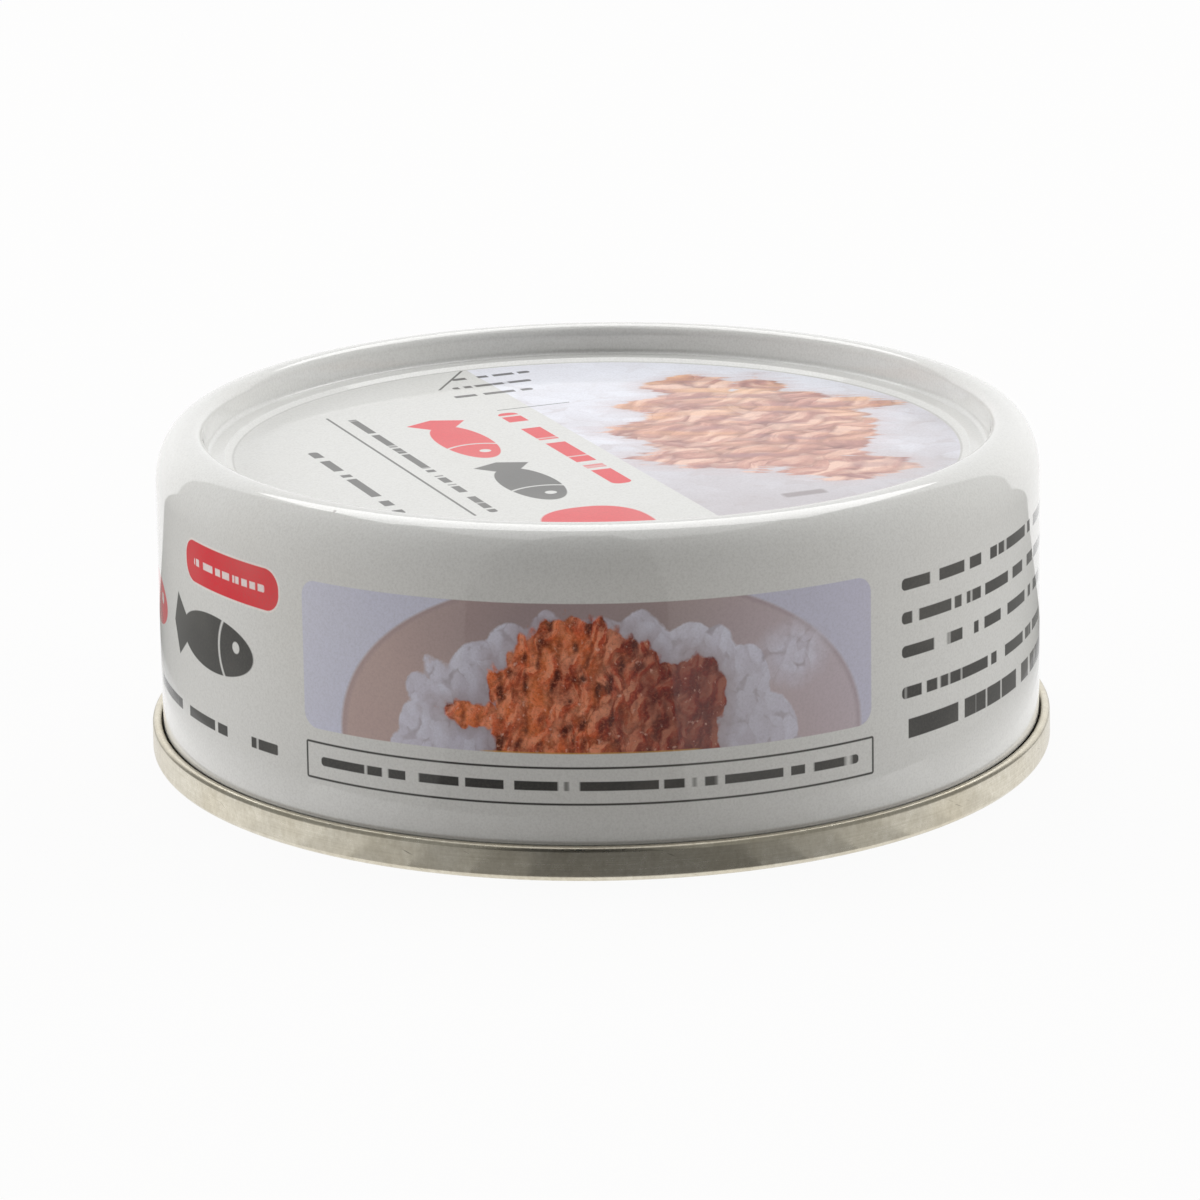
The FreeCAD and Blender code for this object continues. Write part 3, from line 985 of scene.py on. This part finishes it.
def make_end(metal):
    """The seamed end with its rivet, over its CAD solid."""
    end = turned_mesh("seamed_end", end_path())
    head_low = tab_low.z + rivet_under_tab
    head_high = head_low + rivet_head_height
    stem_top = panel_recess + end_sheet / 2
    rivet_path = rounded_path([
        (0, head_low, 0),
        (rivet_head_radius, head_low, rivet_head_round),
        (rivet_head_radius, head_high, 0),
        (rivet_stem_radius, head_high, 0),
        (rivet_stem_radius, stem_top, 0),
        (0, stem_top, 0),
    ])
    rivet = turned_mesh("rivet", rivet_path, place=(0, rivet_y))
    piece = joined("seamed_end", [end, rivet])
    piece.data.materials.append(metal)
    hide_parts("can_end")
    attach(piece, "root")


def finish_tab(metal):
    """The ring-pull keeps its CAD shape and takes its metal."""
    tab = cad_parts["pull_tab"]
    tab.data.materials.clear()
    tab.data.materials.append(metal)


# ---- stage: sizes in metres, headings in degrees from the front, minus to the left -----------
WHITE = (1, 1, 1, 1)
floor_colour = (0.63, 0.61, 0.59, 1)
floor_white = 0.94                      # share of plain white where the floor is seen
floor_reach = 4.0
world_light = 0.37
card_step = 4                           # degrees between two edges of a card

# Grey sweep in front of the can, with a dark strip on it for the reflection on the front.
sweep_grey = (0.27, 0.27, 0.26, 1)
sweep_headings = (-131, 126)
sweep_profile = [
    (0.057, 0.0004),
    (0.45, 0.0004),
    (0.6, 0.06),
    (0.68, 0.2),
    (0.68, 0.9),
    (0.5, 1.15),
]
shade_grey = (0.005, 0.005, 0.005, 1)
shade_headings = (-28, 14)
shade_profile = [
    (0.056, 0.0008),
    (0.44, 0.0008),
    (0.59, 0.062),
    (0.66, 0.2),
    (0.66, 0.9),
    (0.45, 1.2),
    (0.2, 1.3),
]

# Cards that lie round the foot of the can, one over the other: inner radius and grey
# for the sweep's edge, left and right heading and grey for the front of the seam.
card_gap = 0.00004
sweep_edge_low = 0.0001
sweep_edge_reach = 0.0575
sweep_edges = [(0.0500, 0.8), (0.0525, 0.62), (0.0550, 0.45)]
foot_shade_low = 0.0003
foot_shade_radii = (0.0431, 0.0585)
foot_shades = [
    (-50, 58, 0.86),
    (-40, 48, 0.72),
    (-32, 40, 0.52),
    (-24, 32, 0.36),
    (-16, 25, 0.24),
    (-9, 19, 0.15),
]

# Lamps: place, size, radiance.
overhead = (0.0, 0.46, 0.90), (1.1, 0.66), 2.52
side_lamps = [((-0.86, 0.20, 0.28), (0.5, 0.5), 6.6), ((0.86, 0.20, 0.28), (0.5, 0.5), 6.6)]


def white_where_seen(nodes, shader, share):
    """Mixes white into a surface for what sees it directly, in gloss or through glass."""
    in_view = nodes.node("ShaderNodeLightPath", output="Is Camera Ray")
    in_gloss = in_view.also("Is Glossy Ray")
    through_glass = in_view.also("Is Transmission Ray")
    seen = either(in_view, either(in_gloss, through_glass))
    white = nodes.node("ShaderNodeEmission", None, {"Color": WHITE, "Strength": 1.0})
    return nodes.node("ShaderNodeMixShader", None, [seen * share, shader, white])


def make_floor():
    """Pale floor that fills the view and keeps a faint shadow."""
    reach = floor_reach
    corners = [(-reach, -reach, 0), (reach, -reach, 0), (reach, reach, 0), (-reach, reach, 0)]
    floor = new_object("floor", corners, [(0, 1, 2, 3)])
    finish = Finish("pale_floor", Base_Color=floor_colour, Roughness=0.9, Specular_IOR_Level=0.1)
    shaded = Field(finish, finish.shader.outputs["BSDF"])
    finish.show(white_where_seen(finish, shaded, floor_white))
    floor.data.materials.append(finish.material)


def make_card(name, profile, headings, grey):
    """Curved card that only reflections see, turned from a profile between two headings."""
    first, last = headings
    steps = max(2, int((last - first) / card_step))
    width = steps + 1
    vertices = []
    for radius, height in profile:
        for step in range(width):
            heading = math.radians(first + (last - first) * step / steps)
            vertices.append((radius * math.sin(heading), -radius * math.cos(heading), height))
    faces = []
    for row in range(len(profile) - 1):
        for step in range(steps):
            corner = row * width + step
            faces.append((corner, corner + 1, corner + width + 1, corner + width))
    card = new_object(name, vertices, faces)
    finish = Finish(name)
    finish.tree.nodes.remove(finish.shader)
    finish.show(finish.node("ShaderNodeEmission", None, {"Color": grey, "Strength": 1.0}))
    card.data.materials.append(finish.material)
    card.visible_camera = False
    card.visible_diffuse = False
    card.visible_transmission = False
    card.visible_volume_scatter = False
    card.visible_shadow = False


def make_cards():
    """The grey sweep, its dark strip and the graded cards round the foot of the can."""
    make_card("grey_sweep", sweep_profile, sweep_headings, sweep_grey)
    make_card("dark_shade", shade_profile, shade_headings, shade_grey)
    for index, (inner, grey) in enumerate(sweep_edges):
        height = sweep_edge_low + index * card_gap
        profile = [(inner, height), (sweep_edge_reach, height)]
        make_card("sweep_edge", profile, sweep_headings, (grey, grey, grey, 1))
    for index, (left, right, grey) in enumerate(foot_shades):
        height = foot_shade_low + index * card_gap
        profile = [(radius, height) for radius in foot_shade_radii]
        make_card("foot_shade", profile, (left, right), (grey, grey, grey, 1))


def softbox(name, place, size, radiance, in_gloss):
    """Soft lamp aimed at the can's top; in_gloss lets reflections see it."""
    light = bpy.data.lights.new(name, "AREA")
    light.shape = "RECTANGLE"
    light.size, light.size_y = size
    light.energy = radiance * math.pi * size[0] * size[1]
    lamp = bpy.data.objects.new(name, light)
    lamp.location = place
    aim = Vector((0, 0, can_height * MM)) - Vector(place)
    lamp.rotation_euler = aim.to_track_quat("-Z", "Y").to_euler()
    lamp.visible_glossy = in_gloss
    bpy.context.scene.collection.objects.link(lamp)


def make_world():
    """White where it is seen or reflected, and a dimmer even light on the pieces."""
    world = bpy.data.worlds.new("studio")
    world.use_nodes = True
    bpy.context.scene.world = world
    nodes = Nodes(world.node_tree, "World Output")
    fill = nodes.node("ShaderNodeBackground", None, {"Color": WHITE, "Strength": world_light})
    nodes.show(white_where_seen(nodes, fill, 1.0))


# ---- camera ----------------------------------------------------------------------------------
camera_distance = 435.25      # millimetres from the point it aims at
camera_aim = (0.04, 0.0, 13.02)
camera_elevation = 16.476     # degrees above the horizon
camera_roll = -0.880          # degrees
sensor_width = 36.0           # millimetres, as the lens
lens = 136.89


def make_camera():
    """Camera in front of the can, a little above it, with a slight roll."""
    rise = math.radians(camera_elevation)
    roll = math.radians(camera_roll)
    forward = Vector((0, math.cos(rise), -math.sin(rise)))
    level = Vector((1, 0, 0))
    upright = level.cross(forward)
    right = level * math.cos(roll) + upright * math.sin(roll)
    up = upright * math.cos(roll) - level * math.sin(roll)
    turn = Matrix((right, up, -forward)).transposed()
    place = (Vector(camera_aim) - forward * camera_distance) * MM
    data = bpy.data.cameras.new("camera")
    data.sensor_width = sensor_width
    data.lens = lens
    data.clip_start = 0.01
    camera = bpy.data.objects.new("camera", data)
    camera.matrix_world = Matrix.Translation(place) @ turn.to_4x4()
    bpy.context.scene.collection.objects.link(camera)
    bpy.context.scene.camera = camera


make_camera()
make_can()
make_end(tinplate())
finish_tab(bright_tab())
make_floor()
make_cards()
softbox("overhead", *overhead, in_gloss=True)
for side_lamp in side_lamps:
    softbox("side_lamp", *side_lamp, in_gloss=False)
make_world()
bpy.context.scene.view_settings.view_transform = "Standard"
